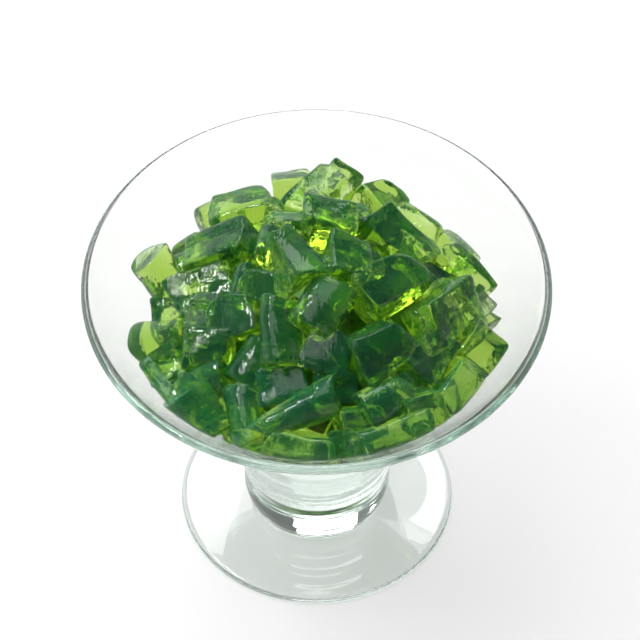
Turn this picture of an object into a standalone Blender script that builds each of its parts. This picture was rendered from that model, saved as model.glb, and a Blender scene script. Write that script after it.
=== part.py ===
"""Loose cut pieces of green jelly, heaped in a clear glass dessert dish on a foot.

Two solids: the turned glass dish, and the heap of jelly lying in it, taken as
one body out to its uneven outline. Every dimension is in millimetres and is
turned into metres only where a mesh is made. +Z is up, and the origin is the
middle of the foot's flat underside, so the dish stands on z = 0.
"""

import math
import random

import bmesh
import bpy
from mathutils import Matrix, Vector

MM = 0.001                  # millimetres to metres
GAP = 0.35                  # clearance kept between the jelly and the glass
SEGMENTS = 48               # facets round the dish; a multiple of four

# The dish
RIM_RADIUS = 66.0           # to the outside of the rounded lip
DISH_HEIGHT = 100.0
LIP_RADIUS = 1.25           # the melted, fully round lip
INNER_SLOPE = 50.0          # degrees from level, inside of the bowl
OUTER_SLOPE = 51.0          # the outside is a little steeper, so the wall thickens
BOWL_BOTTOM_RADIUS = 32.0   # curve of the bowl's inner floor
FOOT_RADIUS = 40.6
FOOT_EDGE = 2.6             # thickness of the foot at its edge
FOOT_CROWN = 4.6            # height of the foot where it meets the stem
STEM_RADIUS = 21.7          # widest part of the solid stem
STEM_NECK_RADIUS = 19.6     # where the stem tucks in above the foot
STEM_BELLY = 12.0           # height of the stem's widest part
STEM_TOP = 16.0             # from here the stem flares out into the bowl
FLARE_START = 62.0          # height where the bowl's straight outer wall ends

# The heap of jelly
HEAP_TOP = 111.0            # the middle of the topmost pieces
HEAP_EDGE = 87.0            # the middle of the pieces that lean on the glass
HEAP_RADIUS = 45.0
HEAP_FORWARD = 3.0          # the heap slid this far towards the front, -Y
HEAP_CROWN = 14.0           # how round the summit is
CORE_DEPTH = 5.0            # how far the solid core lies below the pieces' middles
PIECE_LENGTH = (14.0, 19.0)
PIECE_WIDTH = (11.0, 13.5)
PIECE_THICKNESS = (9.0, 12.0)
PIECE_BEVEL = 1.6
PIECE_TAPER = (0.62, 1.0)   # how much narrower one end of a piece is cut
RINGS = ((0.0, 1), (13.0, 6), (25.5, 11), (36.5, 16), (45.0, 19))


def clear_scene():
    """Take away whatever the file was opened with."""
    for old in list(bpy.data.objects):
        bpy.data.objects.remove(old, do_unlink=True)


def material(name, colour, roughness, alpha=1.0, transmission=0.0, ior=1.45):
    """One Principled surface with the piece's own colour and gloss."""
    finish = bpy.data.materials.new(name)
    finish.use_nodes = True
    shader = finish.node_tree.nodes["Principled BSDF"]
    shader.inputs["Base Color"].default_value = (*colour, 1.0)
    shader.inputs["Roughness"].default_value = roughness
    shader.inputs["Metallic"].default_value = 0.0
    shader.inputs["IOR"].default_value = ior
    shader.inputs["Alpha"].default_value = alpha
    shader.inputs["Transmission Weight"].default_value = transmission
    return finish


def arc(centre, radius, start, end, steps):
    """Points on a circle in the (r, z) plane; angles in degrees from +r."""
    points = []
    for step in range(steps + 1):
        angle = math.radians(start + (end - start) * step / steps)
        points.append((centre[0] + radius * math.cos(angle),
                       centre[1] + radius * math.sin(angle)))
    return points


def curve(start, start_handle, end_handle, end, steps):
    """Points on one cubic curve in the (r, z) plane, without its first point."""
    points = []
    for step in range(1, steps + 1):
        t = step / steps
        weights = ((1 - t) ** 3, 3 * t * (1 - t) ** 2, 3 * t * t * (1 - t), t ** 3)
        knots = (start, start_handle, end_handle, end)
        points.append(tuple(sum(w * k[axis] for w, k in zip(weights, knots))
                            for axis in (0, 1)))
    return points


def lip_centre():
    """Centre of the round lip in the (r, z) plane."""
    return (RIM_RADIUS - LIP_RADIUS, DISH_HEIGHT - LIP_RADIUS)


def inner_profile(gap=0.0, wall_steps=4, floor_steps=8):
    """Inside of the bowl from the lip down to the axis, moved inwards by gap."""
    slope = math.radians(INNER_SLOPE)
    centre = lip_centre()
    reach = LIP_RADIUS + gap
    top = (centre[0] - reach * math.sin(slope), centre[1] + reach * math.cos(slope))
    floor_radius = BOWL_BOTTOM_RADIUS - gap
    low_r = floor_radius * math.sin(slope)
    low_z = top[1] - (top[0] - low_r) * math.tan(slope)
    points = []
    for step in range(wall_steps):
        share = step / wall_steps
        points.append((top[0] + (low_r - top[0]) * share,
                       top[1] + (low_z - top[1]) * share))
    floor_centre = (0.0, low_z + floor_radius * math.cos(slope))
    points += arc(floor_centre, floor_radius, INNER_SLOPE - 90.0, -90.0, floor_steps)
    points[-1] = (0.0, points[-1][1])
    return points


def dish_profile():
    """The whole turned outline of the glass, from the underside round to the floor."""
    bottom_round = 0.9
    top_round = FOOT_EDGE - bottom_round
    points = [(0.0, 0.0)]
    points += arc((FOOT_RADIUS - bottom_round, bottom_round), bottom_round, -90, 0, 2)
    points += arc((FOOT_RADIUS - top_round, FOOT_EDGE - top_round), top_round, 25, 90, 2)
    points += curve(points[-1], (32.0, FOOT_EDGE + 0.3), (24.0, FOOT_CROWN - 0.8),
                    (STEM_NECK_RADIUS, FOOT_CROWN), 4)
    points += curve(points[-1], (STEM_NECK_RADIUS + 1.2, FOOT_CROWN + 1.6),
                    (STEM_RADIUS, STEM_BELLY - 3.0), (STEM_RADIUS, STEM_BELLY), 3)
    slope = math.radians(OUTER_SLOPE)
    centre = lip_centre()
    wall_top = (centre[0] + LIP_RADIUS * math.sin(slope),
                centre[1] - LIP_RADIUS * math.cos(slope))
    flare = (wall_top[0] - (wall_top[1] - FLARE_START) / math.tan(slope), FLARE_START)
    flare_handle = (flare[0] - 20.0 * math.cos(slope), flare[1] - 20.0 * math.sin(slope))
    points.append((STEM_RADIUS, STEM_TOP))
    points += curve(points[-1], (STEM_RADIUS, STEM_TOP + 16.0), flare_handle, flare, 7)
    middle = tuple((a + b) / 2 for a, b in zip(flare, wall_top))
    points.append(middle)
    points += arc(centre, LIP_RADIUS, OUTER_SLOPE - 90.0, INNER_SLOPE + 90.0, 6)
    points += inner_profile()[1:]
    return points


def turned(name, profile, segments=SEGMENTS):
    """Spin an outline that starts and ends on the axis into one closed mesh."""
    mesh = bpy.data.meshes.new(name)
    shape = bmesh.new()
    verts = [shape.verts.new((r * MM, 0.0, z * MM)) for r, z in profile]
    edges = [shape.edges.new(pair) for pair in zip(verts, verts[1:])]
    bmesh.ops.spin(shape, geom=verts + edges, axis=(0, 0, 1), cent=(0, 0, 0),
                   steps=segments, angle=2 * math.pi, use_merge=True)
    bmesh.ops.remove_doubles(shape, verts=shape.verts, dist=1e-6)
    bmesh.ops.recalc_face_normals(shape, faces=shape.faces)
    shape.to_mesh(mesh)
    shape.free()
    return bpy.data.objects.new(name, mesh)


def heap_height(radius):
    """Height of the pieces' middles at a distance from the dish's axis."""
    def rounded(r):
        return math.hypot(r, HEAP_CROWN) - HEAP_CROWN
    fall = (HEAP_TOP - HEAP_EDGE) * rounded(radius) / rounded(HEAP_RADIUS)
    return HEAP_TOP - fall


def core_profile():
    """The solid middle of the heap: the bowl's inside, closed by a lower mound."""
    edge_radius = HEAP_RADIUS + 2.0
    wall = [point for point in inner_profile(gap=GAP, floor_steps=6)
            if point[0] < edge_radius]
    mound_steps = 5
    mound = []
    for step in range(mound_steps):
        radius = edge_radius * step / mound_steps
        mound.append((radius, heap_height(radius) - CORE_DEPTH))
    return mound + wall


def piece_mesh(dice):
    """A cut piece of jelly: a block with one end cut narrower and its edges softened."""
    length = dice.uniform(*PIECE_LENGTH) * MM
    width = dice.uniform(*PIECE_WIDTH) * MM
    thickness = dice.uniform(*PIECE_THICKNESS) * MM
    taper = dice.uniform(*PIECE_TAPER)
    shape = bmesh.new()
    bmesh.ops.create_cube(shape, size=1.0)
    bmesh.ops.scale(shape, verts=shape.verts, vec=(length, width, thickness))
    for vert in shape.verts:
        if vert.co.x > 0:
            vert.co.y *= taper
            vert.co.z *= (1.0 + taper) / 2
    bmesh.ops.bevel(shape, geom=shape.edges, offset=PIECE_BEVEL * MM, segments=1,
                    profile=0.5, affect="EDGES", material=-1)
    bmesh.ops.triangulate(shape, faces=shape.faces)
    return shape


def piece_places(dice):
    """Where the pieces lie: rings round the summit, each one turned and tipped."""
    for radius, count in RINGS:
        for number in range(count):
            around = math.tau * (number + dice.uniform(-0.25, 0.25)) / count
            lean = math.atan2(heap_height(radius) - heap_height(radius + 1.0), 1.0)
            turn = Matrix.Rotation(dice.uniform(0.0, math.pi), 4, "Z")
            tip = Matrix.Rotation(dice.gauss(0.0, 0.28), 4, "X")
            slope = Matrix.Rotation(lean, 4, "Y")
            facing = Matrix.Rotation(around, 4, "Z")
            height = heap_height(radius) + dice.uniform(-1.5, 2.5)
            out = Matrix.Translation(Vector((radius, 0.0, height)) * MM)
            forward = Matrix.Translation(Vector((0.0, -HEAP_FORWARD, 0.0)) * MM)
            yield forward @ facing @ out @ slope @ tip @ turn


def boolean(target, tool, operation):
    """Join or trim one solid with another, and keep the result as plain mesh."""
    step = target.modifiers.new(operation.lower(), "BOOLEAN")
    step.operation = operation
    step.solver = "EXACT"
    step.object = tool
    graph = bpy.context.evaluated_depsgraph_get()
    result = bpy.data.meshes.new_from_object(target.evaluated_get(graph))
    target.modifiers.clear()
    spent = target.data
    target.data = result
    bpy.data.meshes.remove(spent)
    bpy.data.objects.remove(tool, do_unlink=True)


def keep_outer_skin(thing):
    """Delete the small sealed hollows left between joined pieces, to leave one skin."""
    shape = bmesh.new()
    shape.from_mesh(thing.data)
    skin = {max(shape.verts, key=lambda vert: vert.co.z)}
    front = list(skin)
    while front:
        vert = front.pop()
        for edge in vert.link_edges:
            other = edge.other_vert(vert)
            if other not in skin:
                skin.add(other)
                front.append(other)
    hollows = [vert for vert in shape.verts if vert not in skin]
    bmesh.ops.delete(shape, geom=hollows, context="VERTS")
    shape.to_mesh(thing.data)
    shape.free()


def jelly_heap():
    """The core with every outer piece joined on, trimmed to the inside of the bowl."""
    scene = bpy.context.scene.collection
    heap = turned("jelly_heap", core_profile())
    scene.objects.link(heap)
    dice = random.Random(20)
    for place in piece_places(dice):
        shape = piece_mesh(dice)
        bmesh.ops.transform(shape, matrix=place, verts=shape.verts)
        mesh = bpy.data.meshes.new("piece")
        shape.to_mesh(mesh)
        shape.free()
        piece = bpy.data.objects.new("piece", mesh)
        scene.objects.link(piece)
        boolean(heap, piece, "UNION")
    wall = inner_profile(gap=GAP)
    above = DISH_HEIGHT + 40.0
    inside = turned("inside", [(0.0, above), (wall[0][0], above)] + wall)
    scene.objects.link(inside)
    boolean(heap, inside, "INTERSECT")
    keep_outer_skin(heap)
    return heap


def glass_dish():
    """The dish itself, one turned piece of clear glass."""
    dish = turned("glass_dish", dish_profile())
    bpy.context.scene.collection.objects.link(dish)
    return dish


def finish(thing, surface, sharp_angle):
    """Give a solid its material, smooth where it is round."""
    thing.data.materials.clear()
    thing.data.materials.append(surface)
    thing.data.shade_smooth()
    thing.data.set_sharp_from_angle(angle=math.radians(sharp_angle))


def main():
    clear_scene()
    glass = material("clear_glass", (0.90, 0.95, 0.92), 0.03, transmission=1.0, ior=1.5)
    jelly = material("green_jelly", (0.07, 0.27, 0.03), 0.08, transmission=0.6, ior=1.36)
    finish(glass_dish(), glass, 35)
    finish(jelly_heap(), jelly, 20)
    for thing in bpy.data.objects:
        print(thing.name, "faces", len(thing.data.polygons),
              "size mm", tuple(round(side / MM, 1) for side in thing.dimensions))


main()
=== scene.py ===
# %% [markdown]
# # Green jelly in a glass dessert dish
# A clear, cone-shaped glass dish stands on a round foot. In it lies a heap of
# loose green jelly, cut with a knife into pieces about as big as a thumb joint.
# The plan: load the measured frame, blow the glass, cut and heap the jelly, and
# then give each its finish, some soft light and a camera.

# %% The frame
import math
import random

import bmesh
import bpy
from mathutils import Matrix, Vector, noise


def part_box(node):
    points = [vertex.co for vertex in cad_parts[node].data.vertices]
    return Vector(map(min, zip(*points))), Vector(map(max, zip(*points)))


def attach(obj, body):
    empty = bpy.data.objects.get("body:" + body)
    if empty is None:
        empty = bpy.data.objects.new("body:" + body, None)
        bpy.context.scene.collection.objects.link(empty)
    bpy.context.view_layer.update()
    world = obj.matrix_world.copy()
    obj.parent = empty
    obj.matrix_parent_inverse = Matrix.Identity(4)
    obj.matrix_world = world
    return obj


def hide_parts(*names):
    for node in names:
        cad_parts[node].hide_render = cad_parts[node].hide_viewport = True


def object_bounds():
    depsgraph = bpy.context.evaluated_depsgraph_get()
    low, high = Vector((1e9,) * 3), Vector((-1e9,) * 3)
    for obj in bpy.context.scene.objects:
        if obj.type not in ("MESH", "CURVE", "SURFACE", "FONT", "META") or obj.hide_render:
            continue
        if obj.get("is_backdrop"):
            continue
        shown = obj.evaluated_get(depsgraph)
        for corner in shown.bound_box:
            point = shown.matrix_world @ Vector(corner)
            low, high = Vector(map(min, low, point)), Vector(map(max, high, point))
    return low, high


MM = 0.001
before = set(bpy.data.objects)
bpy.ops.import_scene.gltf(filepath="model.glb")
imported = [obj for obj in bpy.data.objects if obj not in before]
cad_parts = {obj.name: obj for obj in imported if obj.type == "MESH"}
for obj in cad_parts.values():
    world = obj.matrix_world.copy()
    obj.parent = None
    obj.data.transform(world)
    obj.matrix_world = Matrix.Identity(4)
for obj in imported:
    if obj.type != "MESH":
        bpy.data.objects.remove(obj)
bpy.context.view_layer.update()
dish_low, dish_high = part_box("glass_dish")
heap_low, heap_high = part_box("jelly_heap")
print("dish", tuple(round(side / MM, 1) for side in dish_high - dish_low))
print("heap", tuple(round(side / MM, 1) for side in heap_high - heap_low))

# %% [markdown]
# ## The outline of the dish
# The real dish is pressed in a round mould, so one outline turned about the axis
# says all of it. The outline runs from the underside of the foot, up the thick
# solid stem with its two soft rings, along the outside of the cone, over the
# melted lip and down the inside. A faint ripple round the stem breaks up what
# shows in it, as it does in pressed glass. A cylinder with edited loops would also
# do, but an outline keeps every size readable, and its curves need few handles.

# %% Sizes of the dish, in millimetres
RIM_RADIUS = dish_high.x / MM
DISH_HEIGHT = dish_high.z / MM
LIP_RADIUS = 1.25
INNER_SLOPE = math.radians(50.0)
OUTER_SLOPE = math.radians(51.0)
FLOOR_RADIUS = 32.0
FOOT_RADIUS = 40.6
FOOT_EDGE = 2.6
FOOT_CROWN = 4.6
STEM_RADIUS = 21.7
NECK_RADIUS = 19.6
BELLY_HEIGHT = 12.0
STEM_TOP = 16.0
FLARE_START = 62.0
LIP_SLOPE = math.radians(57.0)
RING_HEIGHTS = (26.0, 35.5)
RING_SWELL = 0.7
RING_WIDTH = 2.2
RIPPLE = 0.035
RIPPLE_LENGTH = 2.7
FOOT_UNDER_RADIUS = 0.9        # the foot's edge is rounded below ...
FOOT_OVER_RADIUS = FOOT_EDGE - FOOT_UNDER_RADIUS    # ... and above
STEM_HANDLE = 16.0             # how far each curve keeps the way it sets out in
FLARE_HANDLE = 20.0
WALL_HANDLE = 12.0

LIP_CENTRE = (RIM_RADIUS - LIP_RADIUS, DISH_HEIGHT - LIP_RADIUS)
WALL_TOP = (LIP_CENTRE[0] - LIP_RADIUS * math.sin(INNER_SLOPE),
            LIP_CENTRE[1] + LIP_RADIUS * math.cos(INNER_SLOPE))
FLOOR_EDGE_R = FLOOR_RADIUS * math.sin(INNER_SLOPE)
FLOOR_EDGE_Z = WALL_TOP[1] - (WALL_TOP[0] - FLOOR_EDGE_R) * math.tan(INNER_SLOPE)
FLOOR_CENTRE_Z = FLOOR_EDGE_Z + FLOOR_RADIUS * math.cos(INNER_SLOPE)
print("bowl is", round(DISH_HEIGHT - (FLOOR_CENTRE_Z - FLOOR_RADIUS), 1), "mm deep")


def arc(centre, radius, start, end, steps):
    """Points of a circle in the outline's plane, angles in radians."""
    turn = (end - start) / steps
    return [(centre[0] + radius * math.cos(start + turn * step),
             centre[1] + radius * math.sin(start + turn * step))
            for step in range(steps + 1)]


def curve(start, leave, arrive, end, steps):
    """Points of one cubic curve, without its first."""
    points = []
    for step in range(1, steps + 1):
        t = step / steps
        mix = ((1 - t) ** 3, 3 * t * (1 - t) ** 2, 3 * t * t * (1 - t), t ** 3)
        points.append(tuple(sum(w * p[axis] for w, p in zip(mix, (start, leave, arrive, end)))
                            for axis in (0, 1)))
    return points


def wall_radius(z):
    """Radius of the bowl's inside at height z, all in millimetres."""
    if z >= FLOOR_EDGE_Z:
        return WALL_TOP[0] - (WALL_TOP[1] - z) / math.tan(INNER_SLOPE)
    drop = FLOOR_CENTRE_Z - z
    return math.sqrt(max(FLOOR_RADIUS ** 2 - drop ** 2, 0.0))


# %% [markdown]
# ## Turning the glass
# `bmesh.ops.spin` sweeps the outline round the axis, the way a mould is turned on
# a lathe. With `use_merge` the last step meets the first, and `remove_doubles`
# closes the two poles. The Screw modifier gives the same form, but it stays live,
# and a finished glass is simpler as plain mesh.

# %% The dish
DISH_STEPS = 192


def turned(name, outline, steps):
    """A closed body of revolution from an outline that starts and ends on the axis."""
    shape = bmesh.new()
    verts = [shape.verts.new((r * MM, 0.0, z * MM)) for r, z in outline]
    edges = [shape.edges.new(pair) for pair in zip(verts, verts[1:])]
    bmesh.ops.spin(shape, geom=verts + edges, axis=(0, 0, 1), cent=(0, 0, 0),
                   steps=steps, angle=math.tau, use_merge=True)
    bmesh.ops.remove_doubles(shape, verts=shape.verts, dist=1e-6)
    bmesh.ops.recalc_face_normals(shape, faces=shape.faces)
    mesh = bpy.data.meshes.new(name)
    shape.to_mesh(mesh)
    shape.free()
    mesh.shade_smooth()
    thing = bpy.data.objects.new(name, mesh)
    bpy.context.scene.collection.objects.link(thing)
    return thing


def along(point, slope, far):
    """The point that lies so far up a wall of this slope."""
    return (point[0] + far * math.cos(slope), point[1] + far * math.sin(slope))


def ring_swell(z):
    """How far the soft rings under the bowl stand out at height z."""
    swell = sum(RING_SWELL * math.exp(-((z - ring) / RING_WIDTH) ** 2) for ring in RING_HEIGHTS)
    return swell + RIPPLE * math.sin(math.tau * z / RIPPLE_LENGTH)


def dish_outline():
    """The whole outline, from the middle of the underside to the middle of the bowl."""
    under, over = FOOT_UNDER_RADIUS, FOOT_OVER_RADIUS
    right, up = 0.0, math.pi / 2
    points = [(0.0, 0.0), (20.0, 0.0)]
    points += arc((FOOT_RADIUS - under, under), under, -up, right, 6)
    points += arc((FOOT_RADIUS - over, FOOT_EDGE - over), over, 0.1, up, 8)
    points += curve(points[-1], (32.0, FOOT_EDGE + 0.3), (24.0, FOOT_CROWN - 0.8),
                    (NECK_RADIUS, FOOT_CROWN), 14)
    belly = curve(points[-1], (NECK_RADIUS + 1.2, FOOT_CROWN + 1.6),
                  (STEM_RADIUS, BELLY_HEIGHT - 3.0), (STEM_RADIUS, BELLY_HEIGHT), 24)
    points += [(r + ring_swell(z), z) for r, z in belly]
    wall_top = (LIP_CENTRE[0] + LIP_RADIUS * math.sin(OUTER_SLOPE),
                LIP_CENTRE[1] - LIP_RADIUS * math.cos(OUTER_SLOPE))
    flare = (wall_top[0] - (wall_top[1] - FLARE_START) / math.tan(OUTER_SLOPE), FLARE_START)
    leave = along(flare, OUTER_SLOPE, -FLARE_HANDLE)
    points.append((STEM_RADIUS, STEM_TOP))
    neck = curve(points[-1], (STEM_RADIUS, STEM_TOP + STEM_HANDLE), leave, flare, 72)
    points += [(r + ring_swell(z), z) for r, z in neck]
    points += curve(flare, along(flare, OUTER_SLOPE, WALL_HANDLE),
                    along(wall_top, LIP_SLOPE, -WALL_HANDLE), wall_top, 12)[:-1]
    points += arc(LIP_CENTRE, LIP_RADIUS, OUTER_SLOPE - up, INNER_SLOPE + up, 12)
    low = (FLOOR_EDGE_R, FLOOR_EDGE_Z)
    points += curve(WALL_TOP, along(WALL_TOP, LIP_SLOPE, -WALL_HANDLE),
                    along(low, INNER_SLOPE, WALL_HANDLE), low, 14)[:-1]
    points += arc((0.0, FLOOR_CENTRE_Z), FLOOR_RADIUS, INNER_SLOPE - up, -up, 14)
    points[-1] = (0.0, points[-1][1])
    return points


dish = turned("dish_glass", dish_outline(), DISH_STEPS)
print("dish faces", len(dish.data.polygons))

# %% [markdown]
# ## One piece of jelly
# A cook turns the set jelly out of its mould and cuts it up with a knife. So a
# piece starts as a block, or as a drum where it comes from the rounded side of the
# mould. It is drawn narrower at one end, and on most pieces `bisect_plane` cuts off
# a corner, as the knife does. The block is gridded first, so that a slow noise can
# bow its faces, and the Subdivision Surface that comes later rounds each edge by
# about half a grid cell. A crease keeps knife edges crisper than that. Sculpting
# every piece by hand would look as good, but would take a day for a whole heap.

# %% The bodies that pieces are cut from
GRID_CUTS = 4


def block_body():
    shape = bmesh.new()
    bmesh.ops.create_cube(shape, size=1.0)
    bmesh.ops.subdivide_edges(shape, edges=shape.edges[:], cuts=GRID_CUTS, use_grid_fill=True)
    return shape


def drum_body():
    shape = bmesh.new()
    bmesh.ops.create_cone(shape, cap_ends=True, segments=14, radius1=0.5, radius2=0.5,
                          depth=1.0, matrix=Matrix.Rotation(math.pi / 2, 4, "Y"))
    lengthwise = [edge for edge in shape.edges
                  if abs(edge.verts[0].co.x - edge.verts[1].co.x) > 0.5]
    bmesh.ops.subdivide_edges(shape, edges=lengthwise, cuts=GRID_CUTS)
    ends = [face for face in shape.faces if len(face.verts) > 4]
    bmesh.ops.inset_individual(shape, faces=ends, thickness=0.12)
    return shape


for make_body in (block_body, drum_body):
    body = make_body()
    print(make_body.__name__, len(body.faces), "faces")
    body.free()

# %% Cutting a piece
FORMS = {
    # name: body, width and thickness left at the far end, knife cuts, edge crease
    "block": (block_body, 0.90, 0.88, 1, 0.15),
    "slab": (block_body, 0.92, 0.92, 1, 0.20),
    "rod": (drum_body, 0.90, 0.92, 0, 0.20),
    "wedge": (block_body, 0.92, 0.45, 0, 0.20),
    "point": (block_body, 0.45, 0.60, 0, 0.20),
    "horn": (drum_body, 0.40, 0.55, 0, 0.20),
    "round": (drum_body, 0.90, 0.90, 1, 0.05),
}
SHARP = math.radians(30)       # edges that turn more than this are creased
SLANT = 0.07                   # how far a face leans, in parts of the piece
BOW = (1.6, 0.10)              # slow waves: how often, how deep
DENTS = (5.0, 0.025)           # small ones
CUT_REACH = (0.74, 0.90)       # a knife cut leaves this much of a corner
WELD = 0.8                     # millimetres; corners closer than this become one
NOISE_SEED = 7                 # unset, the noise starts somewhere else in every run
noise.seed_set(NOISE_SEED)


def cut_piece(form, length, width, thickness, dice):
    """A piece of jelly about its own middle, long in x, in metres."""
    body, narrow_y, narrow_z, cuts, crease = FORMS[form]
    shape = body()
    # three are used; the fourth only keeps the throws of the dice in their order
    slant = [Vector(dice.uniform(-SLANT, SLANT) for _ in range(3)) for _ in range(4)]
    where = Vector(dice.uniform(0, 50) for _ in range(3))
    for vert in shape.verts:
        x, y, z = vert.co
        vert.co += slant[0] * y * z * 4 + slant[1] * x * z * 4 + slant[2] * x * y * 4
        for often, deep in (BOW, DENTS):
            vert.co += noise.noise_vector(vert.co * often + where) * deep
        far = min(max(x + 0.5, 0.0), 1.0)
        vert.co.y *= 1 + (narrow_y - 1) * far
        vert.co.z *= 1 + (narrow_z - 1) * far
    bmesh.ops.scale(shape, verts=shape.verts, vec=(length * MM, width * MM, thickness * MM))
    for _ in range(cuts):
        way = Vector(dice.choice((-1, 1)) * dice.uniform(0.3, 1.0) for _ in range(3)).normalized()
        reach = max(way.dot(vert.co) for vert in shape.verts)
        cut = bmesh.ops.bisect_plane(
            shape, geom=shape.verts[:] + shape.edges[:] + shape.faces[:],
            plane_co=way * reach * dice.uniform(*CUT_REACH), plane_no=way, clear_outer=True)
        rim = [item for item in cut["geom_cut"] if isinstance(item, bmesh.types.BMEdge)]
        bmesh.ops.contextual_create(shape, geom=rim)
        bmesh.ops.remove_doubles(shape, verts=shape.verts, dist=WELD * MM)
    bmesh.ops.recalc_face_normals(shape, faces=shape.faces)
    crease *= dice.uniform(0.0, 2.0)
    crisp = shape.edges.layers.float.new("crease_edge")
    for edge in shape.edges:
        if edge.is_manifold and edge.calc_face_angle() > SHARP:
            edge[crisp] = crease
    return shape


print("forms", ", ".join(FORMS))

# %% [markdown]
# ## Where the pieces lie
# The heap is a rounded cone that leans on the glass all round. Each piece gets a
# seat: where its middle lies, how far it stands out of the heap, and how it is
# turned in the slope, tipped and rolled. The conspicuous ones were placed one by
# one, from the back to the front, since no rule makes a heap look unarranged.

# %% Seats
HEAP_TOP = 110.5
HEAP_FALL = 22.0
HEAP_RADIUS = 45.0
HEAP_CROWN = 14.0


def heap_height(x, y):
    def rounded(r):
        return math.hypot(r, HEAP_CROWN) - HEAP_CROWN
    return HEAP_TOP - HEAP_FALL * rounded(math.hypot(x, y)) / rounded(HEAP_RADIUS)


def seat(x, y, lift, turn, tip, roll):
    """Matrix that lays a piece in the heap's slope; millimetres and degrees."""
    step = 0.5
    up = Vector((heap_height(x - step, y) - heap_height(x + step, y),
                 heap_height(x, y - step) - heap_height(x, y + step), 2 * step)).normalized()
    across = (Vector((1, 0, 0)) - up * up.x).normalized()
    lie = Matrix((across, up.cross(across), up)).transposed().to_4x4()
    middle = Vector((x, y, heap_height(x, y))) + up * lift
    return (Matrix.Translation(middle * MM) @ lie
            @ Matrix.Rotation(math.radians(turn), 4, "Z")
            @ Matrix.Rotation(math.radians(-tip), 4, "Y")
            @ Matrix.Rotation(math.radians(roll), 4, "X"))


# form, x, y, lift, turn, tip, roll, length, width, thickness
SEATS = [
    # the far side
    ("round", -28, 32, 1, 30, 0, 0, 12, 11, 10),
    ("block", -20, 26, 2, -5, 0, 10, 18, 13, 11),
    ("rod", -12, 22, 0, 80, 10, 0, 10, 7, 8),
    ("block", -7, 37, 3, -10, 0, 0, 11, 9, 9),
    ("block", 5, 34, 4, 60, 30, 45, 14, 12, 9),
    ("slab", 0, 29, 4, 35, 35, 30, 19, 12, 8),
    ("block", 18, 33, 2, 45, 20, 35, 13, 12, 11),
    ("rod", 28, 26, 1, -35, 0, 20, 17, 9, 9),
    ("block", 38, 19, 0, -50, 0, -15, 12, 10, 9),
    ("slab", 40, 8, 2, -38, 0, 15, 18, 11, 9),
    # the upper left
    ("block", -26, 10, 2, -3, 0, 10, 20, 13, 11),
    ("round", -36, 14, -1, 0, 0, 0, 10, 9, 8),
    ("rod", -43, 9, 2, 95, 65, 0, 14, 12, 12),
    ("wedge", -32, 0, 0, 8, 0, 15, 18, 13, 10),
    ("rod", -20, -5, 1, 80, 0, 0, 12, 8, 9),
    ("rod", -13, 7, 1, 80, 0, 0, 11, 7, 8),
    # the summit
    ("wedge", -7, 17, 0, 0, 0, 0, 10, 8, 8),
    ("block", -13, -8, 1, -20, 0, 20, 14, 10, 9),
    ("point", -5, -3, 4, 118, 12, 20, 17, 14, 13),
    ("block", 3, 10, 4, -8, 0, 15, 14, 14, 12),
    ("rod", 11, 19, 1, 80, 15, 0, 11, 7, 7),
    ("block", 22, 11, 2, -28, 0, 25, 19, 12, 11),
    ("block", 7, -4, 4, -5, -5, -10, 12, 12, 12),
    ("block", 13, 0, -1, 0, 0, 0, 10, 9, 9),
    ("block", 30, 14, -1, 45, 0, 0, 10, 9, 8),
    ("block", 31, 3, -1, -30, 0, 0, 12, 10, 9),
    ("block", 45, 0, -1, 60, 0, 0, 10, 9, 8),
    # across the middle
    ("block", -40, -5, -1, 0, 0, 0, 12, 10, 9),
    ("round", -42, -14, 2, -5, 0, 10, 18, 14, 12),
    ("block", -32, -10, 0, 68, 10, 30, 14, 9, 9),
    ("block", -22, -14, 1, 0, 0, 10, 15, 12, 11),
    ("rod", -9, -21, 4, 91, 0, 30, 19, 13, 11),
    ("round", 2, -15, 3, 60, 0, 0, 17, 15, 13),
    ("block", 18, -7, 4, 38, 8, -10, 20, 13, 12),
    ("slab", 34, -10, 4, 42, 0, 20, 22, 16, 10),
    ("slab", 43, -6, 0, 42, 0, -20, 13, 11, 8),
    ("block", 45, -17, 2, -30, 0, 10, 14, 12, 11),
    ("block", 30, -23, 1, 60, 0, 0, 15, 13, 11),
    ("block", 16, -24, 3, 35, 0, 20, 16, 14, 12),
    ("block", 3, -26, 1, -25, 0, 0, 14, 13, 11),
    ("round", -17, -27, 1, 60, 0, 0, 14, 12, 11),
    ("block", -29, -21, 2, 0, -10, 0, 13, 12, 12),
    # the near side
    ("slab", -43, -27, 1, -56, 0, 60, 17, 10, 6),
    ("block", -38, -28, -3, 20, 0, 0, 14, 12, 11),
    ("round", -30, -29, 1, 10, 0, 15, 14, 12, 12),
    ("block", -34, -35, -6, 30, 0, 0, 15, 13, 12),
    ("block", -9, -33, 0, 10, 0, 0, 13, 11, 10),
    ("horn", -5, -40, 4, 208, 0, 30, 24, 14, 12),
    ("block", 5, -34, -1, 0, 0, 0, 12, 11, 10),
    ("block", 26, -29, -1, 30, 0, 20, 10, 10, 9),
    ("round", 18, -36, 3, 35, 0, 0, 14, 12, 12),
    ("block", 39, -28, 1, 60, 0, 15, 16, 14, 11),
    ("block", 30, -36, 1, 15, 0, 20, 17, 13, 11),
    ("block", 12, -42, 1, 20, 0, 15, 12, 11, 10),
    ("rod", 21, -45, 3, 20, 0, 30, 22, 13, 10),
    ("rod", -31, -38, 4, -60, -20, 0, 16, 16, 15),
    ("rod", -19, -40, 2, 97, 0, 20, 18, 11, 11),
    ("block", -4, -49, 2, -14, 0, 20, 18, 12, 11),
    ("block", 9, -48, 0, 10, 0, 0, 12, 11, 9),
    ("block", -19, -47, -1, 0, 0, 0, 14, 11, 9),
    ("block", -42, -21, -2, 30, 0, 0, 13, 12, 11),
]
print("seats", len(SEATS))

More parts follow.
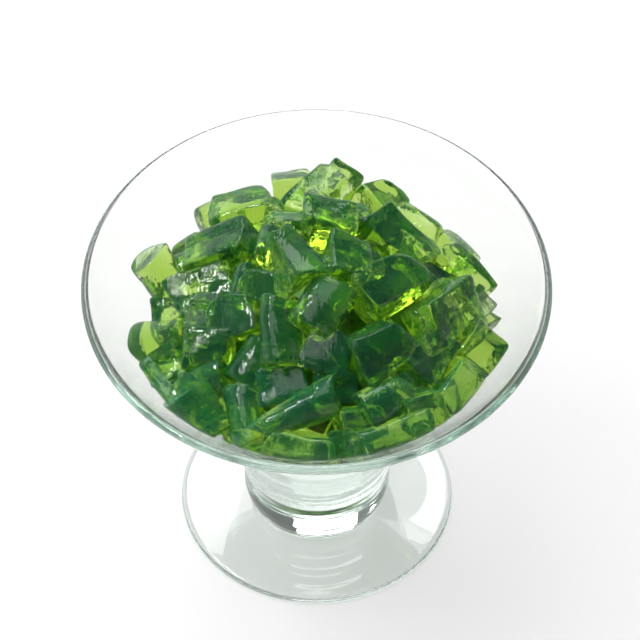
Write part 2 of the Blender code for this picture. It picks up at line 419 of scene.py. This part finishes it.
# %% [markdown]
# ## Pressing against the glass
# Soft jelly flattens where it lies on the bowl. Any point that would stand in the
# wall is drawn back to it, which gives each outer piece its flat, wet contact.
# A Boolean with the bowl's inside would cut the same shape, but with a sharp rim.

# %% Laying the pieces
INTO_WALL = -0.25              # below nought: a hair of air is left, unseen
TOP_SEED = 7
TOP_SWELL = 2                  # levels of Subdivision Surface
LOWER_SWELL = 1
GROUPS = ("far_pieces", "middle_pieces", "near_pieces")


def press_in_bowl(shape):
    for vert in shape.verts:
        r = math.hypot(vert.co.x, vert.co.y)
        limit = (wall_radius(vert.co.z / MM) + INTO_WALL) * MM
        if r > limit:
            vert.co.x *= limit / r
            vert.co.y *= limit / r
    floor = (FLOOR_CENTRE_Z - FLOOR_RADIUS - INTO_WALL) * MM
    for vert in shape.verts:
        vert.co.z = max(vert.co.z, floor)


def joined(name, shapes, level):
    """One object from many bmeshes."""
    whole = bmesh.new()
    for shape in shapes:
        part = bpy.data.meshes.new("part")
        shape.to_mesh(part)
        shape.free()
        whole.from_mesh(part)
        bpy.data.meshes.remove(part)
    mesh = bpy.data.meshes.new(name)
    whole.to_mesh(mesh)
    whole.free()
    mesh.shade_smooth()
    thing = bpy.data.objects.new(name, mesh)
    bpy.context.scene.collection.objects.link(thing)
    swell = thing.modifiers.new("swell", "SUBSURF")
    swell.levels = swell.render_levels = level
    return thing


def seated_pieces(seats, dice):
    for form, x, y, lift, turn, tip, roll, length, width, thickness in seats:
        shape = cut_piece(form, length, width, thickness, dice)
        bmesh.ops.transform(shape, matrix=seat(x, y, lift, turn, tip, roll), verts=shape.verts)
        press_in_bowl(shape)
        yield shape


heap_parts = []
dice = random.Random(TOP_SEED)
share = len(SEATS) // len(GROUPS) + 1
for count, name in enumerate(GROUPS):
    chosen = SEATS[count * share:(count + 1) * share]
    heap_parts.append(joined("jelly_" + name, seated_pieces(chosen, dice), TOP_SWELL))
    print(name, len(heap_parts[-1].data.polygons), "faces before the swell")

# %% [markdown]
# ## The pieces below
# Between the top pieces, and through the glass from the side, more jelly shows.
# These pieces are set in rings by rule, because nobody sees them singly: each layer
# is shifted against the one below, every piece gets its own cut and turn, and those
# that touch the bowl are pressed against it.

# %% Lower pieces
FIRST_LAYER = 5.0              # above the bowl's inner floor
LAYER = 9.0                    # from one layer to the next
SPACING = 12.0                 # from one piece to the next
FIRST_RING = 7.5               # from the wall to the outermost middles
TOP_ROOM = 9.0                 # kept free below the heap's surface
SHELL = 18.0                   # no inner rings deeper than this
SHAKE = 0.15                   # how far a piece strays along its ring, in steps
BOB = 1.5                      # and up or down, in millimetres
LOWER_SIZES = ((13, 16), (11, 13.5), (10, 12))
LOWER_FORMS = ("block", "block", "slab", "rod", "round")
LOWER_SEED = 3


def lower_places(dice):
    """Rings of places, the outermost against the wall, the inner ones only near the top."""
    z = FLOOR_CENTRE_Z - FLOOR_RADIUS + FIRST_LAYER
    layer = 0
    while z < HEAP_TOP - TOP_ROOM:
        ring = wall_radius(z) - FIRST_RING
        against_wall = True
        while ring > 0.3 * SPACING:
            count = round(math.tau * ring / SPACING)
            for step in range(count):
                stray = 0.5 * (layer % 2) + dice.uniform(-SHAKE, SHAKE)
                angle = math.tau * (step + stray) / count
                x, y = ring * math.cos(angle), ring * math.sin(angle)
                high = z + dice.uniform(-BOB, BOB)
                below_top = heap_height(x, y) - high
                if below_top > TOP_ROOM and (against_wall or below_top < SHELL):
                    yield x, y, high
            ring -= SPACING
            against_wall = False
        z += LAYER
        layer += 1


def lower_pieces(dice):
    for x, y, z in lower_places(dice):
        form = dice.choice(LOWER_FORMS)
        shape = cut_piece(form, *[dice.uniform(*size) for size in LOWER_SIZES], dice)
        spin = [dice.uniform(0, math.tau) for _ in range(3)]
        place = Matrix.Translation(Vector((x, y, z)) * MM)
        for angle, axis in zip(spin, "ZYX"):
            place = place @ Matrix.Rotation(angle, 4, axis)
        bmesh.ops.transform(shape, matrix=place, verts=shape.verts)
        press_in_bowl(shape)
        yield shape


heap_parts.append(
    joined("jelly_lower_pieces", lower_pieces(random.Random(LOWER_SEED)), LOWER_SWELL))
print("lower pieces with", len(heap_parts[-1].data.polygons), "faces")

# %% [markdown]
# ## The core
# Deep in the heap nothing can be told apart: there is only dark green. One plain
# turned body fills that space, well inside the wall and under the pieces. It could
# be filled with more pieces, but each one more makes every ray of light turn more
# corners, and costs time for something that is never seen.

# %% Turning the core
CORE_DEPTH = 13.0              # below the heap's surface
CORE_MARGIN = 17.0             # inside the bowl's wall
CORE_EDGE = HEAP_RADIUS - 8.0
CORE_SHOULDER = 4.0
CORE_TIP = 3.0
OUTLINE_STEPS = 16
CORE_STEPS = 64


def core_outline():
    steps = OUTLINE_STEPS
    points = [(CORE_EDGE * step / steps, heap_height(CORE_EDGE * step / steps, 0) - CORE_DEPTH)
              for step in range(steps)]
    floor = FLOOR_CENTRE_Z - FLOOR_RADIUS + CORE_MARGIN
    top = points[-1][1] - CORE_SHOULDER
    for step in range(steps):
        z = top + (floor - top) * step / steps
        points.append((max(wall_radius(z) - CORE_MARGIN, CORE_TIP), z))
    points.append((0.0, floor))
    return points


core = turned("jelly_core", core_outline(), CORE_STEPS)
heap_parts.append(core)
print("core faces", len(core.data.polygons))

# %% [markdown]
# ## Clear glass
# Glass bends light and swallows very little of it, so its green shows only where
# light travels far, as in the rim and the stem. That is why the colour sits in
# Volume Absorption and not on the surface. The wall works as a light guide: light
# that is caught in it comes out at the rim, after dozens of bounces. A little less
# than full transmission leaves a faint white diffuse share: painted light, which
# keeps the rim pale where the guided light would come out.

# %% The glass finish
GLASS_GREEN = (0.42, 0.84, 0.62, 1)


def material(name):
    """A new finish, with its nodes, its links and its main shader."""
    finish = bpy.data.materials.new(name)
    finish.use_nodes = True
    nodes = finish.node_tree.nodes
    return finish, nodes, finish.node_tree.links, nodes["Principled BSDF"]


def put(node, **settings):
    """Sets a node's sockets by name, with an underscore for a space."""
    for socket, value in settings.items():
        node.inputs[socket.replace("_", " ")].default_value = value
    return node


def coloured_inside(nodes, links, colour, density):
    """What light loses on its way through."""
    depth = put(nodes.new("ShaderNodeVolumeAbsorption"), Color=colour, Density=density)
    links.new(depth.outputs["Volume"], nodes["Material Output"].inputs["Volume"])


def glass_finish():
    finish, nodes, links, shader = material("clear_glass")
    # the missing 0.02 is a white diffuse share: painted light that keeps the rim pale
    put(shader, Base_Color=(1.0, 1.0, 1.0, 1), Roughness=0.0, IOR=1.5, Transmission_Weight=0.98)
    coloured_inside(nodes, links, GLASS_GREEN, density=4.0)
    return finish


glass = glass_finish()
print(glass.name, len(glass.node_tree.nodes), "nodes")

# %% [markdown]
# ## Jelly
# Jelly is mostly water, so its IOR is near that of water and the light goes deep.
# It takes out blue first, then red, which turns thin corners lime and thick pieces
# deep green. A small share of Diffuse in a Mix Shader stands for the fine gelatine
# that makes it slightly cloudy: a blue-green veil on the tops. Real scattering in
# the volume would do the same, but it is slow and noisy, and is lost in an export.
# The cut faces are wet and wavy. Two bumps do that: a slow noise for the waves, and
# fine lines dragged by the knife, which tear the edges of every reflection. The
# pieces below get no waves, since light that has passed one wavy face says enough.
# The top pieces on the near side get a darker, cloudier copy of the same finish:
# painted shade, which darkens the near slope of the heap.

# %% The jelly finish
JELLY_SKIN = (0.96, 1.0, 0.94, 1)
JELLY_VEIL = (0.06, 0.55, 0.28, 1)
JELLY_DEPTH = (0.66, 0.81, 0.0, 1)


def cut_waves(nodes, links):
    """The normal of a wet, cut face: slow waves, with the knife's fine lines on them."""
    place = nodes.new("ShaderNodeTexCoord")
    ripple = put(nodes.new("ShaderNodeTexNoise"), Scale=230.0, Detail=3.0, Roughness=0.5)
    drag = put(nodes.new("ShaderNodeTexWave"),
               Scale=260.0, Distortion=14.0, Detail=2.0, Detail_Scale=0.5)
    waves = put(nodes.new("ShaderNodeBump"), Strength=0.55, Distance=0.0010)
    lines = put(nodes.new("ShaderNodeBump"), Strength=0.18, Distance=0.00012)
    links.new(place.outputs["Object"], ripple.inputs["Vector"])
    links.new(place.outputs["Object"], drag.inputs["Vector"])
    links.new(ripple.outputs["Fac"], waves.inputs["Height"])
    links.new(drag.outputs["Fac"], lines.inputs["Height"])
    links.new(waves.outputs["Normal"], lines.inputs["Normal"])
    return lines.outputs["Normal"]


def jelly_finish(name, rippled, cloud, density):
    """cloud is the share of the veil, density how soon the light turns green."""
    finish, nodes, links, shader = material(name)
    put(shader, Base_Color=JELLY_SKIN, Roughness=0.02, IOR=1.37, Transmission_Weight=1.0)
    if rippled:
        links.new(cut_waves(nodes, links), shader.inputs["Normal"])
    veil = put(nodes.new("ShaderNodeBsdfDiffuse"), Color=JELLY_VEIL)
    cloudy = nodes.new("ShaderNodeMixShader")
    cloudy.inputs[0].default_value = cloud
    links.new(shader.outputs["BSDF"], cloudy.inputs[1])
    links.new(veil.outputs["BSDF"], cloudy.inputs[2])
    links.new(cloudy.outputs["Shader"], nodes["Material Output"].inputs["Surface"])
    coloured_inside(nodes, links, JELLY_DEPTH, density)
    return finish


jelly = jelly_finish("green_jelly", rippled=True, cloud=0.06, density=208.0)
# painted shade: a darker, cloudier copy of the jelly for the near top pieces
shaded_near_jelly = jelly_finish("green_jelly_near_painted_shade", rippled=True, cloud=0.10, density=285.0)
below_jelly = jelly_finish("green_jelly_below", rippled=False, cloud=0.01, density=225.0)
for finish in (jelly, shaded_near_jelly, below_jelly):
    print(finish.name, len(finish.node_tree.nodes), "nodes")

# %% [markdown]
# ## The deep jelly of the core
# The core stands for many pieces, some thin and some thick, so its green changes
# from place to place over about the length of a piece. A slow noise goes through a
# Color Ramp from a deep green to a fresher one, and a faint bump breaks its shine.
# One flat green would show through the clear pieces above as a smooth wall.

# %% The core's finish
DEEP_GREEN = (0.025, 0.14, 0.012, 1)
FRESH_GREEN = (0.10, 0.34, 0.03, 1)


def core_finish():
    finish, nodes, links, shader = material("deep_jelly")
    put(shader, Roughness=0.4)
    place = nodes.new("ShaderNodeTexCoord")
    patches = put(nodes.new("ShaderNodeTexNoise"), Scale=90.0, Detail=2.0)
    links.new(place.outputs["Object"], patches.inputs["Vector"])
    greens = nodes.new("ShaderNodeValToRGB")
    for stop, position, green in zip(greens.color_ramp.elements, (0.35, 0.65),
                                     (DEEP_GREEN, FRESH_GREEN)):
        stop.position = position
        stop.color = green
    links.new(patches.outputs["Fac"], greens.inputs["Fac"])
    links.new(greens.outputs["Color"], shader.inputs["Base Color"])
    bump = put(nodes.new("ShaderNodeBump"), Strength=0.4, Distance=0.001)
    links.new(patches.outputs["Fac"], bump.inputs["Height"])
    links.new(bump.outputs["Normal"], shader.inputs["Normal"])
    return finish


deep_jelly = core_finish()
print(deep_jelly.name, len(deep_jelly.node_tree.nodes), "nodes")

# %% [markdown]
# ## Putting the finishes on
# Each piece gets its finish here. It rides on the root body, and the measured part
# it takes the place of is hidden. The pieces and the core together take the place
# of the one solid heap.

# %% Finishes and bodies
dish.data.materials.append(glass)
# the near pieces get the copy of the jelly that carries painted shade
for thing, finish in zip(heap_parts, (jelly, jelly, shaded_near_jelly, below_jelly, deep_jelly)):
    thing.data.materials.append(finish)

for thing, node, slot in [(dish, "glass_dish", "clear_glass")] + [
        (thing, "jelly_heap", "green_jelly") for thing in heap_parts]:
    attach(thing, "root")
    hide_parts(node)

print("finished", 1 + len(heap_parts), "pieces")

# %% [markdown]
# ## The floor
# The dish stands on a pale table that glows a little from within, as a table for
# photographs of glass does; the glow is painted light that keeps the shadow light
# and soft. The floor lies a hair below the foot, because two faces at one height
# would flicker. Under the foot the glow is darker and greener: painted shade, for
# light that reaches the table there only through the glass. A ramp over the
# distance from the axis does that.

# %% Floor
FLOOR_SIZE = 4.0               # metres
FLOOR_DROP = 0.15              # millimetres
FLOOR_PALE = (0.29, 0.29, 0.29, 1)
# painted shade: the table's glow under the glass foot
PAINTED_SHADE_UNDER_FOOT = (0.78, 0.83, 0.79, 1)
BESIDE_GLASS = (1.0, 1.0, 1.0, 1)


def floor_table():
    shape = bmesh.new()
    bmesh.ops.create_grid(shape, x_segments=1, y_segments=1, size=FLOOR_SIZE / 2,
                          matrix=Matrix.Translation((0, 0, -FLOOR_DROP * MM)))
    mesh = bpy.data.meshes.new("floor")
    shape.to_mesh(mesh)
    shape.free()
    table = bpy.data.objects.new("floor", mesh)
    bpy.context.scene.collection.objects.link(table)
    return table


def floor_finish():
    finish, nodes, links, shader = material("pale_floor")
    # the emission is painted light that keeps the shadow light and soft
    put(shader, Base_Color=FLOOR_PALE, Emission_Strength=0.68, Roughness=0.6)
    place = nodes.new("ShaderNodeTexCoord")
    from_axis = nodes.new("ShaderNodeVectorMath")
    from_axis.operation = "LENGTH"
    past_foot = nodes.new("ShaderNodeMapRange")
    past_foot.interpolation_type = "SMOOTHSTEP"
    put(past_foot, From_Min=(FOOT_RADIUS - 1.5) * MM, From_Max=(FOOT_RADIUS + 1.0) * MM)
    glow_and_painted_shade = nodes.new("ShaderNodeMix")
    glow_and_painted_shade.data_type = "RGBA"
    put(glow_and_painted_shade, A=PAINTED_SHADE_UNDER_FOOT, B=BESIDE_GLASS)
    links.new(place.outputs["Object"], from_axis.inputs[0])
    links.new(from_axis.outputs["Value"], past_foot.inputs["Value"])
    links.new(past_foot.outputs["Result"], glow_and_painted_shade.inputs["Factor"])
    links.new(glow_and_painted_shade.outputs["Result"], shader.inputs["Emission Color"])
    return finish


floor = floor_table()
floor.data.materials.append(floor_finish())
floor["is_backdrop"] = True
print("floor", round(floor.dimensions.x, 2), "m wide")

# %% [markdown]
# ## Bounces
# A ray in clear glass and jelly turns many corners before it gets out. With few
# bounces it ends in black, so the limits are raised: high for glossy ones, which
# include the total reflections inside the wall.

# %% Bounces
scene = bpy.context.scene
scene.view_settings.view_transform = "Standard"
scene.cycles.max_bounces = 64
scene.cycles.transmission_bounces = 24
scene.cycles.glossy_bounces = 64
scene.cycles.transparent_max_bounces = 12
print("bounces", scene.cycles.max_bounces, "in all,", scene.cycles.glossy_bounces, "glossy")

# %% [markdown]
# ## The studio
# Glass shows its room more than itself. So the room is a white sweep low behind
# the dish, darker towards the camera and to the right, under a dark ceiling, which
# leaves the tops of the jelly deep green. Each ramp fades along one axis of the
# ray's direction. A photographed room as an image would need a file beside this one.

# %% The room
# from and to along the axis, then the brightness before and after
CEILING = (0.35, 0.65, 1.0, 0.15)
BACK_WALL = (-0.4, 0.3, 0.42, 1.2)
SIDES = (-0.5, 0.5, 1.25, 0.65)
world = bpy.data.worlds.new("studio")
world.use_nodes = True
sky = world.node_tree.nodes
sky["Background"].inputs["Color"].default_value = (1.0, 1.0, 1.0, 1)
towards = sky.new("ShaderNodeTexCoord")
split = sky.new("ShaderNodeSeparateXYZ")
world.node_tree.links.new(towards.outputs["Generated"], split.inputs[0])


def ramp(axis, start, end, low, high):
    """A soft step along one axis of the direction that a ray leaves in."""
    step = sky.new("ShaderNodeMapRange")
    step.interpolation_type = "SMOOTHSTEP"
    put(step, From_Min=start, From_Max=end, To_Min=low, To_Max=high)
    world.node_tree.links.new(split.outputs[axis], step.inputs["Value"])
    return step.outputs["Result"]


def times(one, other):
    product = sky.new("ShaderNodeMath")
    product.operation = "MULTIPLY"
    world.node_tree.links.new(one, product.inputs[0])
    world.node_tree.links.new(other, product.inputs[1])
    return product.outputs["Value"]


sweep = times(ramp("Z", *CEILING), ramp("Y", *BACK_WALL))
sweep = times(sweep, ramp("X", *SIDES))
world.node_tree.links.new(sweep, sky["Background"].inputs["Strength"])
scene.world = world
print("room", world.name, "with", len(sky), "nodes")

# %% [markdown]
# ## Three lamps
# The softbox behind gives flat wet tops their grey mirror patches and lights up the
# stem. A second one overhead does that for the near slope of the heap. The long
# thin window on the left is small and very bright: it is the white thread that runs
# along a cut edge. Area lamps have a size, and so an outline that can be mirrored;
# point lamps would only leave dots.

# %% Lamps


def softbox(name, place, aim, size, power):
    """An area lamp that looks at a point; metres and watts."""
    lamp = bpy.data.lights.new(name, "AREA")
    lamp.shape = "RECTANGLE"
    lamp.size, lamp.size_y = size
    lamp.energy = power
    stand = bpy.data.objects.new(name, lamp)
    stand.location = place
    stand.rotation_euler = (Vector(aim) - Vector(place)).to_track_quat("-Z", "Y").to_euler()
    scene.collection.objects.link(stand)


middle = Vector((0.0, 0.0, 0.08))
softbox("behind", (-0.08, 0.52, 0.80), middle, (0.55, 0.38), 3.4)
softbox("overhead", (-0.16, 0.00, 0.95), middle, (0.60, 0.50), 2.6)
softbox("window", (-0.45, 0.04, 0.74), middle, (0.50, 0.04), 3.8)

# %% [markdown]
# ## The camera
# The camera looks down into the dish from about a metre away, half way between
# level and straight down. The lens is long, so the round rim stays a clean ellipse.

# %% Camera
ELEVATION = math.radians(50.89)
DISTANCE = 0.9925
aim = Vector((0.00095, 0.0, 0.0829))
lens = bpy.data.cameras.new("view")
lens.lens = 196.9
lens.sensor_width = 36.0
camera = bpy.data.objects.new("view", lens)
camera.location = aim + DISTANCE * Vector((0.0, -math.cos(ELEVATION), math.sin(ELEVATION)))
camera.rotation_euler = (aim - camera.location).to_track_quat("-Z", "Y").to_euler()
scene.collection.objects.link(camera)
scene.camera = camera
print("camera at", tuple(round(side, 3) for side in camera.location))

# %% [markdown]
# ## Sizes and the end
# The finished dish has to be as big as the measured one. Both boxes are written
# down so that they can be compared.

# %% Sizes and the end
new_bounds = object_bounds()
for low, high in zip(*new_bounds):
    print("from", round(low / MM, 1), "to", round(high / MM, 1), "mm")
